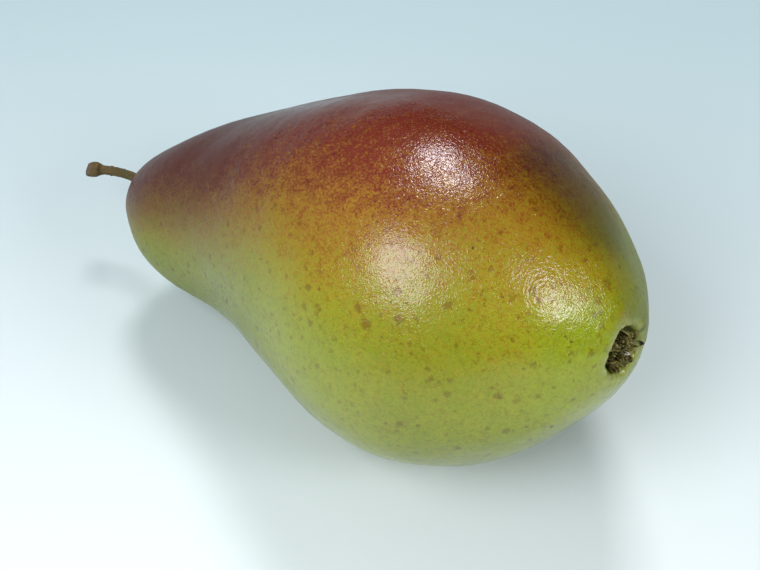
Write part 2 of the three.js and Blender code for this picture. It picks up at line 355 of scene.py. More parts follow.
def on_skin(along, degrees):
    """The place on the plain skin at a distance along the axis and an angle round it, in the
    fruit's own frame: the radius is read off the outer part of the section."""
    section = spline(BODY, np.linspace(0, RIM_SHARE, 4000))
    radius = np.interp(along, section[:, 0], section[:, 1])
    along = np.array(float(along))
    return skin_points(along, np.array(radius), along, np.array(math.radians(degrees)))


def on_frame(along, degrees):
    """That place in the frame, in mm."""
    return tuple(placed(on_skin(along, degrees)))


# ---- Meshes
def tube(points):
    """Vertices and faces of a closed tube from rings of points, with a fan at each end to a pole
    vertex at its ring's mean. The two poles follow the rings' own vertices."""
    rings, sides = points.shape[:2]
    ring = np.arange(rings - 1)[:, None] * sides
    side = np.arange(sides)
    after = (side + 1) % sides
    quads = stacked(ring + side, ring + after, ring + sides + after, ring + sides + side)
    pole, end = rings * sides, (rings - 1) * sides
    fans = np.vstack([stacked(pole, after, side), stacked(pole + 1, end + side, end + after)])
    vertices = np.vstack([points.reshape(-1, 3), points[0].mean(0), points[-1].mean(0)])
    return vertices, quads.reshape(-1, 4).tolist() + fans.tolist()


def with_poles(shape, **fields):
    """Each field as one number for each vertex of a tube: spread over its rings, then its poles."""
    return {name: np.append(np.broadcast_to(field, shape), poles)
            for name, (field, poles) in fields.items()}


def joined(parts):
    """Several (vertices, faces, fields) as one."""
    vertices, faces, fields = zip(*parts)
    starts = np.cumsum([0] + [len(v) for v in vertices]).tolist()
    moved = [[i + start for i in face] for part, start in zip(faces, starts) for face in part]
    return np.vstack(vertices), moved, np.vstack(fields)


def is_inside_out(vertices, faces):
    """Whether the volume between the faces and the origin comes out negative."""
    corners = [(face[0], face[k], face[k + 1]) for face in faces for k in range(1, len(face) - 1)]
    a, b, c = vertices[np.array(corners).T]
    return np.einsum("ij,ij->", a, np.cross(b, c)) < 0


def add_object(name, data):
    """A new object of this data in the scene."""
    made = bpy.data.objects.new(name, data)
    bpy.context.scene.collection.objects.link(made)
    return made


def add_piece(name, shape, finish, node):
    """A smooth mesh object at the origin from vertices in mm, faces and fields, riding with the
    pear in place of a node of the frame. Each field is one number for each vertex."""
    vertices, faces, fields = shape
    if is_inside_out(vertices, faces):
        faces = [face[::-1] for face in faces]
    mesh = bpy.data.meshes.new(name)
    mesh.from_pydata((vertices * MM).tolist(), [], faces)
    mesh.polygons.foreach_set("use_smooth", np.ones(len(mesh.polygons), bool))
    for title, values in fields.items():
        layer = mesh.attributes.new(title, "FLOAT", "POINT")
        layer.data.foreach_set("value", np.ascontiguousarray(values, np.float32))
    mesh.materials.append(finish)
    mesh.validate()
    mesh.update()
    piece = add_object(name, mesh)
    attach(piece, "root")
    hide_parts(node)


# ---- Shaders
def connect(tree, node, sockets):
    """Gives sockets of a node their values, or links where the value is itself a socket."""
    for key, value in sockets.items():
        socket, value = node.inputs[key], getattr(value, "socket", value)
        if isinstance(value, bpy.types.NodeSocket):
            tree.links.new(value, socket)
        else:
            socket.default_value = (*value, 1.0) if socket.type == "RGBA" else value


def add_node(tree, kind, sockets, **options):
    """Adds a node to a tree: its options first, then its sockets."""
    made = tree.nodes.new(kind)
    for key, value in options.items():
        setattr(made, key, value)
    connect(tree, made, sockets)
    return made


class Value:
    """A number socket in a finish. Arithmetic on it adds Math nodes."""

    def __init__(self, finish, socket):
        self.finish, self.socket = finish, socket

    def __add__(self, other):
        return self.finish.math("ADD", self, other)

    def __sub__(self, other):
        return self.finish.math("SUBTRACT", self, other)

    def __rsub__(self, other):
        return self.finish.math("SUBTRACT", other, self)

    def __mul__(self, other):
        return self.finish.math("MULTIPLY", self, other)


class Finish:
    """A procedural material with a Principled shader, whose colour is built up in layers. Patterns
    are in mm on Object coordinates."""

    def __init__(self, name, specular):
        self.material = bpy.data.materials.new(name)
        self.material.use_nodes = True
        self.tree = self.material.node_tree
        self.tree.nodes.clear()
        self.shader = self.node("ShaderNodeBsdfPrincipled", {"Specular IOR Level": specular})
        self.node("ShaderNodeOutputMaterial", {"Surface": self.shader.outputs[0]})
        place = self.node("ShaderNodeTexCoord", {}).outputs["Object"]
        self.place = self.vector("SCALE", place, Scale=1 / MM)
        self.colour = None

    def node(self, kind, sockets, **options):
        """Adds a node."""
        return add_node(self.tree, kind, sockets, **options)

    def math(self, operation, *terms):
        """A Math node on numbers or values."""
        made = self.node("ShaderNodeMath", dict(enumerate(terms)), operation=operation)
        return Value(self, made.outputs[0])

    def vector(self, operation, *terms, **scale):
        """A Vector Math node; the result is a socket, or a Value for a distance or a product."""
        sockets = dict(enumerate(terms)) | scale
        made = self.node("ShaderNodeVectorMath", sockets, operation=operation)
        if operation in ("DISTANCE", "DOT_PRODUCT"):
            return Value(self, made.outputs["Value"])
        return made.outputs["Vector"]

    def attributes(self, *names):
        """Numbers kept with each vertex."""
        made = [self.node("ShaderNodeAttribute", {}, attribute_name=name) for name in names]
        return [Value(self, node.outputs["Fac"]) for node in made]

    def clouds(self, size, detail, rough, twist=0.0):
        """A Noise node whose clouds are about size mm across."""
        return self.node("ShaderNodeTexNoise", {
            "Vector": self.place, "Scale": 1 / size, "Detail": detail, "Roughness": rough,
            "Distortion": twist})

    def noise(self, size, detail=2.0, rough=0.5, twist=0.0):
        """Cloudy noise about 0, from -1 to 1."""
        return (Value(self, self.clouds(size, detail, rough, twist).outputs["Fac"]) - 0.5) * 2

    def ragged(self, size, reach):
        """The place, shaken by up to about reach mm in clouds of size mm, for ragged edges."""
        shake = self.clouds(size, 4.0, 0.65).outputs["Color"]
        shake = self.vector("SUBTRACT", shake, (0.5, 0.5, 0.5))
        return self.vector("ADD", self.place, self.vector("SCALE", shake, Scale=2 * reach))

    def cells(self, size, place=None):
        """Distance in mm to the nearest of scattered points, and two random numbers of its own."""
        made = self.node("ShaderNodeTexVoronoi", {"Vector": place or self.place, "Scale": 1 / size})
        parts = self.node("ShaderNodeSeparateColor", {"Color": made.outputs["Color"]}).outputs
        first, second, _ = (Value(self, part) for part in parts)
        return Value(self, made.outputs["Distance"]) * size, first, second

    def nearest(self, place, spots):
        """Distance in mm to the edge of the nearest of some spots: along, degrees, radius."""
        closest = None
        for along, degrees, radius in spots:
            edge = self.vector("DISTANCE", place, on_frame(along, degrees)) - radius
            closest = self.math("MINIMUM", closest, edge) if closest else edge
        return closest

    def to_line(self, start, end):
        """Distance in mm to a straight line: to the point on it at the place's own share along."""
        way = np.subtract(end, start)
        gone = self.vector("SUBTRACT", self.place, start)
        share = self.vector("DOT_PRODUCT", gone, tuple(way / (way @ way)))
        share = self.math("MINIMUM", self.math("MAXIMUM", share, 0), 1)
        return self.vector("DISTANCE", gone, self.vector("SCALE", tuple(way), Scale=share))

    def step(self, low, high, value):
        """0 at low, 1 at high, and an S-curve between; low may be the larger."""
        made = self.node(
            "ShaderNodeMapRange", {"Value": value, "From Min": low, "From Max": high},
            interpolation_type="SMOOTHSTEP")
        return Value(self, made.outputs["Result"])

    def mix(self, share, under, over, blend="MIX"):
        """Colour over laid on colour under, by share from 0 to 1."""
        sockets = {0: share, 6: under, 7: over}
        return self.node("ShaderNodeMix", sockets, data_type="RGBA", blend_type=blend).outputs[2]

    def lay(self, share, over, blend="MIX"):
        """Lays one more colour over the finish's own."""
        self.colour = self.mix(share, self.colour, over, blend)

    def shade(self, amount):
        """Makes the finish's colour lighter or darker by an amount about 0."""
        self.colour = self.vector("SCALE", self.colour, Scale=amount + 1)

    def finish(self, roughness, height, distance):
        """Joins the colour, roughness and relief (height in shares of distance) to the shader."""
        bump = self.node("ShaderNodeBump", {"Distance": distance, "Height": height})
        connect(self.tree, self.shader, {
            "Base Color": self.colour, "Roughness": roughness, "Normal": bump.outputs["Normal"]})
        return self.material


def skin_finish(look):
    """Waxy skin: green to yellow ground, an orange-to-red blush in stipple, lenticels, russet,
    a brown stem hollow and calyx basin with a painted highlight on its rim, painted light and shade
    over the skin, and a fine peel grain, ringed round one wrinkled place."""
    skin = Finish("pear_skin", 0.54)
    # The shade field is painted light and shade over the skin.
    blush, olive, shade, dull, hollow, lip, wall = skin.attributes(
        "blush", "olive", "shade", "dull", "hollow", "lip", "wall")
    clouds = skin.noise(9, 3)
    patches = skin.noise(2.6, 3, 0.6)
    mottle = skin.noise(1.1, 2, 0.6)
    grain = skin.noise(0.42, 2, 0.6)
    fine = skin.noise(0.2, 1)

    # Ground: yellower towards the blush.
    ripe = skin.step(-0.35, 0.25, blush + clouds * 0.1 + patches * 0.1)
    skin.colour = skin.mix(ripe, look.green, look.yellow)
    skin.shade(clouds * 0.10 + patches * 0.10 + mottle * 0.07)

    # Blush: an orange veil and a red one, each broken into fine dots at its edge.
    dot, dot_random, _ = skin.cells(0.42)
    stipple = skin.step(0.24, 0.05, dot) * (dot_random * 0.8 + 0.4)
    tide = blush + clouds * 0.10 + patches * 0.20 + mottle * 0.24 + grain * 0.6
    thin = skin.step(-0.12, 0.68, tide + stipple * 0.2)
    full = skin.step(0.46, 1.0, tide + stipple * 0.12)
    skin.lay(thin * 0.92, look.orange)
    skin.lay(full * 0.95, look.red)
    # Olive: the smudge beside the crown, partly painted shade, and the small olive fold.
    skin.lay(skin.step(0.05, 1.0, olive + patches * 0.15), OLIVE_TINT, "MULTIPLY")
    # The grain's own tone, and painted light and shade from the shade field.
    skin.shade(grain * 0.30 + fine * 0.20 + mottle * 0.06 + shade - 1)

    # Lenticels: brown pin-points all over, paler on the red.
    pore, pore_random, pore_other = skin.cells(1.0)
    pores = skin.step(0.20, 0.06, pore + grain * 0.05) * skin.step(0.25, 0.5, pore_random)
    skin.lay(pores * (pore_other * 0.45 + 0.15), skin.mix(full, PORE_ON_GREEN, PORE_ON_RED))

    # Flecks: ragged brownish clouds of the skin's own colour, thicker in drifts.
    drift = skin.step(-0.5, 0.5, clouds + patches * 0.6)
    coarse = skin.step(0.05, 0.22, skin.noise(1.4, 4, 0.7, 0.8)) * (drift * 0.5 + 0.25)
    dense = skin.step(0.06, 0.24, skin.noise(0.6, 3, 0.65, 0.5)) * (drift * 0.3 + 0.35)
    skin.lay(coarse + dense, look.fleck, "MULTIPLY")

    # Russet: the listed spots and many smaller ones, soft and ragged, tinting the skin under them.
    ragged = skin.ragged(0.5, 0.95)
    spots = skin.step(0.30, -0.35, skin.nearest(ragged, RUSSET_SPOTS) + grain * 0.2)
    share = spots
    for size, widest, left_out in SCATTERED_SPOTS:
        away, luck, width = skin.cells(size, ragged)
        scattered = skin.step(0.14, -0.12, away - width * widest + grain * 0.15)
        scattered = scattered * skin.step(left_out, left_out + 0.3, luck + clouds * 0.25)
        share = skin.math("MAXIMUM", share, scattered)
    share = share * (1 - full * 0.45)
    share = skin.math("MINIMUM", share * (mottle * 0.3 + 0.9), 1)
    skin.lay(share, look.russet, "MULTIPLY")

    # Dark specks and scratches.
    hurt = skin.nearest(skin.place, SPECKS)
    for scratch in SCRATCHES:
        line = skin.to_line(on_frame(*scratch[:2]), on_frame(*scratch[2:])) - SCRATCH_WIDTH / 2
        hurt = skin.math("MINIMUM", hurt, line)
    skin.lay(skin.step(0.14, -0.08, hurt + grain * 0.22) * 0.85, SCAB)

    # Stem hollow and calyx basin, with a painted highlight along the basin's rim.
    cork = skin.step(0.35, 0.95, hollow + patches * 0.2)
    skin.lay(cork * 0.85, CORK)
    skin.lay(lip * 0.45, RIM_HIGHLIGHT)
    skin.lay(skin.step(0.02, 0.4, wall) * 0.7, WALL)
    skin.lay(skin.step(0.3, 0.7, wall + patches * 0.25), WALL_SHADE)

    # Relief: creases between the small domes of the peel, drawn into broken rings round the
    # wrinkled place.
    creases = skin.math("ABSOLUTE", skin.noise(0.58, 1.2, 0.5, 0.6))
    away = skin.vector("DISTANCE", skin.place, on_frame(*WRINKLE_CENTRE))
    away = away + clouds * 0.9 + patches * 0.9 + mottle * 0.25
    ringed = skin.step(WRINKLE_REACH, WRINKLE_REACH * 0.4, away)
    ridges = skin.math("SINE", away * (2 * math.pi / WRINKLE_STEP)) * skin.step(-0.6, 0.5, mottle)
    height = creases * 3.0 * (1 - ringed * 0.2) + ridges * ringed * 0.8 + spots * 0.4 + fine * 0.4
    roughness = skin.step(-1, 1, grain) * 0.10 + (look.gloss - 0.05) + share * 0.08
    return skin.finish(roughness + cork * 0.3 + dull * 0.3 + wall * 0.4, height, look.peel)


def bark_finish(look):
    """Olive-brown bark with lengthwise fibres, small warts and a paler broken end."""
    bark = Finish("stem_bark", 0.35)
    fibre, end = bark.attributes("fibre", "scar")
    patches = bark.noise(1.6, 3, 0.6)
    grain = bark.noise(0.25, 2)
    bark.colour = bark.mix(bark.step(-0.7, 0.8, patches + fibre * 0.5), look.bark, BROWN_BARK)
    wart, wart_random, _ = bark.cells(0.9)
    warts = bark.step(0.22, 0.1, wart) * bark.step(0.4, 0.6, wart_random)
    bark.lay(warts * 0.5, WART)
    bark.lay(bark.step(0.3, 0.8, end + patches * 0.15), look.scar)
    bark.shade(grain * 0.18 + fibre * 0.10)
    roughness = bark.step(-1, 1, grain) * 0.15 + 0.62
    return bark.finish(roughness, fibre * 0.5 + grain * 0.6 + warts * 0.8, 0.06 * MM)


def dried_finish(look):
    """Dried tissue: black-brown with papery tan streaks, greenish where it is still fresh, black at
    a dried tip, and painted nearly white on the flakes as a painted highlight."""
    husk = Finish("dried_calyx", 0.15)
    edge, fresh, tip, pale = husk.attributes(*HUSK_FIELDS)
    streaks = husk.noise(0.7, 4, 0.65, 0.4)
    grain = husk.noise(0.18, 2)
    tone = streaks * 1.3 + edge * 0.7 - 0.15
    husk.colour = husk.mix(husk.step(-0.35, 0.3, tone), look.dark, look.olive)
    husk.lay(husk.step(0.2, 0.9, tone), look.tan)
    leafy = husk.mix(husk.step(-0.6, 0.6, streaks), LEAF_DARK, LEAF_LIGHT)
    husk.lay(husk.step(0.15, 0.85, fresh + streaks * 0.35), leafy)
    husk.lay(tip, BURNT)
    # Painted highlight: the flakes are painted nearly white as glints.
    husk.lay(pale, PAINTED_GLINT)
    husk.shade(grain * 0.3)
    roughness = husk.step(-1, 1, streaks) * 0.25 + 0.5
    return husk.finish(roughness, streaks * 0.8 + grain * 0.6, 0.12 * MM)


def floor_finish(look):
    """Pale floor with painted shade: it fades softly to a cooler, deeper tone on the far side,
    where the light falls off.
    """
    floor = Finish("pale_floor", 0.3)
    clouds = floor.noise(220, 2)
    # Painted shade towards the far side.
    far = floor.step(*FLOOR_PAINTED_FADE_REACH, floor.vector("DOT_PRODUCT", floor.place, FLOOR_PAINTED_FADE))
    floor.colour = floor.mix(far, look.floor, look.painted_far_floor)
    floor.shade(clouds * 0.012)
    return floor.finish(clouds * 0.02 + 0.6, clouds, 0.01 * MM)


# ---- The fruit
def blush_share(along, angle):
    """How full the blush is, 1 at its heart and below 0 on the shaded side: an S-curve of the
    cosine of the angle from its own side of the fruit, fading out towards the crown, and a bell
    curve of the angle for the golden ground beside the crown."""
    s = along / LENGTH
    tip, neck, belly, crown = BLUSH_SIDE
    side = (tip + (neck - tip) * smooth(0, 0.15, s) + (belly - neck) * smooth(0.25, 0.5, s)
            + (crown - belly) * smooth(0.8, 0.95, s))
    fade = np.maximum(0, (s - 0.6) / 0.4) ** 1.4
    full = smooth(-0.26, 0.96, np.cos(angle - np.radians(side)) - fade)
    warm = bell(degrees_from(WARM_SIDE, angle), 0, 39) * smooth(0.6, 0.76, s) * smooth(0.97, 0.9, s)
    return BLUSH_LEAST + (BLUSH_MOST - BLUSH_LEAST) * full + 0.26 * warm * (1 - full)


def painted_light_share(along, angle):
    """How bright the skin is, as painted light and shade: painted shade round the neck, above all
    where the blush is, on the sunny shoulder and in a belt round the belly's end, and painted light
    at the crown and on the side."""
    s = along / LENGTH
    neck = smooth(0.6, 0.34, s)
    blushed = smooth(-0.1, 0.6, blush_share(along, angle)) * smooth(0.42, 0.2, s)
    degrees = degrees_from(0, angle)
    shoulder = smooth(100, 62, degrees) * smooth(-60, 0, degrees) * smooth(0.4, 0.6, s)
    shoulder = shoulder * (0.12 + 0.18 * smooth(0.78, 0.9, s))
    # Painted highlight at the crown and painted light on the side.
    pale = smooth(0.9, 0.97, s) * smooth(90, 125, np.abs(degrees))
    side = bell(degrees, 110, 18) * smooth(0.28, 0.4, s) * smooth(0.72, 0.6, s)
    # Painted shade round the neck, most where it is blushed, on the shoulder and in the belt.
    dark = 0.28 * neck + 0.22 * blushed + shoulder + 0.10 * bell(s, 0.8, 0.07)
    return 1 + 0.10 * side + 0.14 * pale - dark


def olive_share(along, angle):
    """How far the skin is darkened to olive, in a smudge beside the crown on the blush's side,
    partly the skin's own tone and partly painted shade: a bell curve of the angle."""
    s = along / LENGTH
    beside = bell(degrees_from(SMUDGE_SIDE, angle), 0, 26)
    return beside * smooth(0.70, 0.80, s) * smooth(0.98, 0.9, s)


def dull_share(along, angle):
    """How far the wax is dulled by bloom: on the sunny side past its shoulder, and on the neck."""
    degrees = degrees_from(0, angle)
    sunny = smooth(84, 62, degrees) * smooth(-60, 0, degrees)
    return np.maximum(sunny, 0.8 * (1 - smooth(0.15, 0.42, along / LENGTH)))


def fruit_rings():
    """The lengthwise section as rings of along, radius and station, and how far each is inside the
    basin: up the wall of the stem's hole, over its lip, along the skin, over the rim and down."""
    t = np.linspace(0, 1, 8000)
    along, radius = spline(BODY, t).T
    at_neck = t < 0.5
    along = along + np.where(at_neck, DIMPLE * bell(radius, 0, DIMPLE_RADIUS), 0)
    keep = ~at_neck | (radius > HOLE_RADIUS + 0.5)
    t, along, radius = t[keep], along[keep], radius[keep]
    closeness = 1 + 1.6 * bell(radius, 6, 3.5) * (t > 0.6) + 1.6 * bell(radius, 0, 4) * (t < 0.3)
    places = even_steps(np.stack([along, radius], 1), RINGS, closeness) * (len(t) - 1)
    index = np.arange(len(t))
    along, radius, t = (np.interp(places, index, values) for values in (along, radius, t))
    station = np.where(t > RIM_SHARE, LENGTH, along)
    depth, flare = np.array(HOLE).T
    rings = np.vstack([stacked(depth, HOLE_RADIUS + flare, 0), stacked(along, radius, station)])
    inside = np.append(np.zeros(len(HOLE)), smooth(RIM_SHARE, RIM_SHARE + 0.02, t))
    return rings, inside


def outward_normals(points):
    """Unit normals of rings of points, from the directions along and round them."""
    round_axis = np.roll(points, -1, 1) - np.roll(points, 1, 1)
    normal = unit(np.cross(round_axis, np.gradient(points, axis=0)))
    middle = len(points) // 2
    outward = points[middle, 0] - points[middle].mean(0)
    return normal if normal[middle, 0] @ outward > 0 else -normal


def opening_wave(angle):
    """The basin's opening isn't quite round: a sum of three, five and eight waves round it."""
    return np.sin(3 * angle + 1.0) + 0.6 * np.sin(5 * angle + 2.3) + 0.4 * np.sin(8 * angle)


def fruit_mesh(look):
    """Vertices, faces and fields of the skin: the form, then its relief along the normal."""
    rings, inside = fruit_rings()
    along, radius, station = rings.T[..., None]
    inside = inside[:, None]
    angle = turns(SIDES)
    points = skin_points(along, radius, station, angle)
    on_body = (np.arange(len(rings)) >= len(HOLE))[:, None]
    near_stem = bell(radius, HOLE_RADIUS, 1.6) * (along < 20)
    at_crown = along > LENGTH - 12
    fold_radius, fold_turn, fold_size = FOLD
    fold_aside = np.radians(degrees_from(fold_turn, angle)) * fold_radius
    fold = at_crown * bell(fold_aside, 0, 0.5 * fold_size) * bell(radius, fold_radius, fold_size)

    relief = look.dents / MM * lumps(points, 17, 3) * smooth(3, 12, radius)
    pucker = lumps(points, 2.9, 5, 60) + 1.2 * lumps(points, 5.5, 6, 40)
    relief += look.pucker / MM * pucker * (1 - inside)
    relief += 0.09 * near_stem * np.sin(9 * angle + 2 * np.sin(2 * angle))
    relief += 0.13 * bell(radius, 5.4, 2.2) * at_crown * opening_wave(angle)
    relief += 0.02 * bell(radius, 8.5, 2.4) * at_crown * np.sin(17 * angle + 3 * np.sin(3 * angle))
    relief += 0.10 * inside * lumps(points, 1.6, 8, 40)
    away = np.linalg.norm(points - on_skin(*WRINKLE_CENTRE), axis=-1)
    ripples = np.sin((away + 0.7 * lumps(points, 6, 9)) * 2 * np.pi / RIPPLE_STEP)
    relief += 0.016 * ripples * smooth(WRINKLE_REACH, WRINKLE_REACH * 0.4, away)
    relief += 0.1 * fold
    points = placed(points + outward_normals(points) * (relief * on_body)[..., None])
    points[..., 2] = np.maximum(points[..., 2], 0)

    # A painted highlight along the basin's rim, left off the fold.
    lip = bell(radius, 5.2, 0.9) * at_crown * (1 - fold)
    hollow = (along < 20) * np.maximum(bell(radius, HOLE_RADIUS, 1.1), 1 - on_body)
    return *tube(points), with_poles(
        points.shape[:2],
        blush=(blush_share(station, angle), (0.5, -1)),
        olive=(np.maximum(olive_share(station, angle), 1.5 * fold), (0.5, 0)),
        # shade: painted light and shade
        shade=(painted_light_share(station, angle), (1, 1)),
        dull=(dull_share(station, angle), (1, 0)),
        lip=(lip, (0, 0)),
        wall=(inside * smooth(RIM_ALONG, BODY[-1][0], along), (0, 1)),
        hollow=(hollow, (1, 0)),
    )


class PEAR_OT_fruit(bpy.types.Operator):
    """Add the fruit with its skin"""

    bl_idname = "pear.add_fruit"
    bl_label = "Fruit"

    def execute(self, context):
        look = context.scene.pear.fruit
        add_piece("pear_fruit", fruit_mesh(look), skin_finish(look), "fruit")
        return {"FINISHED"}


# ---- The stem
def stem_centre(out):
    """The stem's middle line at a distance out from the fruit: its side and rise grow with the
    square and the cube of the share along it."""
    v = np.maximum(0, out) / STEM_OUT
    return stacked(
        -out, STEM_SIDE[0] * v**2 + STEM_SIDE[1] * v**3, STEM_RISE[0] * v**2 + STEM_RISE[1] * v**3)


def stem_mesh(look):
    """The stem as rings carried along its middle line: a shaft with lengthwise fibres and warts,
    a knob at the end, and a broken, rounded face with a ragged rim."""
    shaft, knob = look.radius / MM, look.knob_radius / MM
    length = STEM_IN + STEM_OUT
    along = np.linspace(0.12, length, STEM_RINGS)
    swell = np.exp(-(np.abs((length - 0.85 - along) / 1.05) ** 3))
    radius = (shaft + (knob - shaft) * swell) * (1 - 0.25 * bell(along, 0, 0.5))
    inward = np.linspace(0.94, 0.05, STEM_END_RINGS)
    face_along = length + 0.25 * (1 - inward**2) ** 0.5 - 0.3 * (1 - inward) ** 2
    along = np.append(along, face_along)[:, None]
    radius = np.append(radius, radius[-1] * inward)[:, None]
    on_face = (np.arange(len(along)) >= STEM_RINGS)[:, None]
    angle = turns(STEM_SIDES)

    out = along[:, 0] - STEM_IN
    forward = unit(stem_centre(out + 0.01) - stem_centre(out - 0.01))
    across = unit(np.cross((0, 0, 1), forward))
    upward = np.cross(forward, across)

    tip = bell(along, length, 1.6)
    around = stacked(np.cos(angle) * 2.2, np.sin(angle) * 2.2, along * 0.22)
    fibre = lumps(around, 1.5, 21, 50)
    warts = np.maximum(0, lumps(around * [1, 1, 6], 1.5, 22, 50) - 0.45)
    reach = radius * (1 + tip * (0.1 * np.sin(2 * angle + 0.5) + 0.07 * np.sin(3 * angle)))
    bumps = 0.035 * fibre + 0.12 * warts
    reach = reach + bumps * np.minimum(1, radius / shaft) * (along > STEM_IN)
    ragged = 0.16 * tip**3 * lumps(around * [1, 1, 0], 0.9, 23, 40) * (radius / knob) ** 2
    slant = BREAK_SLANT * tip * (radius / knob) * np.cos(angle + BREAK_TURN) + ragged
    points = stem_centre(out)[:, None]
    moves = (across, reach * np.cos(angle)), (upward, reach * np.sin(angle)), (forward, slant)
    for way, amount in moves:
        points = points + way[:, None] * amount[..., None]
    side, up = axis_offset(0.0)
    scar = np.where(on_face, 1, 0.4 * bell(along, length, 0.35))
    return *tube(placed(points, 0, side + NOSE[0], up + NOSE[1])), with_poles(
        points.shape[:2], fibre=(fibre, (0, 0)), scar=(scar, (0, 1)))


class PEAR_OT_stem(bpy.types.Operator):
    """Add the stem"""

    bl_idname = "pear.add_stem"
    bl_label = "Stem"

    def execute(self, context):
        look = context.scene.pear.stem
        add_piece("pear_stem", stem_mesh(look), bark_finish(look), "stem")
        return {"FINISHED"}


# ---- The calyx
def crown_points(height, radius, angle):
    """Places about the crown's middle, from height up the axis, radius and angle round it."""
    return stacked(height, radius * np.cos(angle), radius * np.sin(angle))


def husk_part(points, edge, fresh=0.0, tip=0.0, pale=0.0):
    """A closed tube of dried tissue with its colour fields, each a number or an array of rings."""
    fields = [np.broadcast_to(value, points.shape[:2]) for value in (edge, fresh, tip, pale)]
    fields = [np.append(field, (field[0].mean(), field[-1].mean())) for field in fields]
    return *tube(points), np.stack(fields, 1)


def blade(turn, width, line, thick, twist, wave, seed, curl=0.35, fresh=0.0, tip=0.0, pale=0.0,
          tone=0.0, rings=30, sides=22):
    """A dried, wavy leaf blade: a flat oval section carried along a line of radius and height,
    narrowing to its tip, its edges curled and its face crumpled."""
    u = np.linspace(0, 1, rings)[:, None]
    face = turns(sides)
    centre, ahead, behind = (spline(line, u[:, 0] + d) for d in (0, 0.01, -0.01))
    slope = np.arctan2((ahead - behind)[:, 1], (ahead - behind)[:, 0])[:, None]
    taper = np.sqrt(np.maximum(1 - u**5, 0.012))
    half = (0.9 + (width - 0.9) * np.cos(0.5 * np.pi * u**1.3)) / 2 * taper
    ragged = lumps(stacked(u * 5, np.sign(np.cos(face)), 0), 1.1, seed, 20)
    share = np.cos(face) * (1 + 0.16 * ragged)
    across = share * half
    off = 0.5 * thick * np.sin(face) * (1 - 0.45 * share**2) * np.minimum(1, 0.35 + taper)
    off += 0.14 * u * np.sin(5 * u + 2.5 * across + wave) - curl * u * share**2
    off += 0.13 * lumps(stacked(u * 6, across, 0), 1.5, seed + 1, 24) * np.minimum(1, 3 * u)
    off += 0.035 * np.sin(11 * across + seed) * (1 - u)
    angle = math.radians(turn) + across / 4 + twist * u
    reach = centre[:, :1] - off * np.sin(slope)
    points = crown_points(centre[:, 1:] + off * np.cos(slope), np.maximum(reach, 0.02), angle)
    dark_tip = smooth(0.72, 0.86, u)
    return husk_part(points, share**2 + tone, fresh * (1 - 0.85 * dark_tip), tip * dark_tip, pale)


def thread(root, angle, length, thick, bend, sideways, anther, edge, rings=16, sides=8):
    """A withered stamen: a thin stalk bending outwards and sideways with the square of the height,
    ending in a small oval anther."""
    v = np.linspace(0, 1, rings)[:, None]
    face = turns(sides)
    bulb = bell(v, 0.9, 0.075)
    radius = (thick * (1 - 0.35 * v) + anther * bulb) * np.sqrt(np.maximum(1 - v**30, 0.03))
    out = root + bend * v**2 + radius * np.cos(face)
    aside = sideways * v**2 + 0.12 * np.sin(5 * v + root) * v + radius * np.sin(face)
    points = stacked(
        0.9 + v * length,
        out * math.cos(angle) - aside * math.sin(angle),
        out * math.sin(angle) + aside * math.cos(angle))
    return husk_part(points, edge, tip=0.5 * bulb)


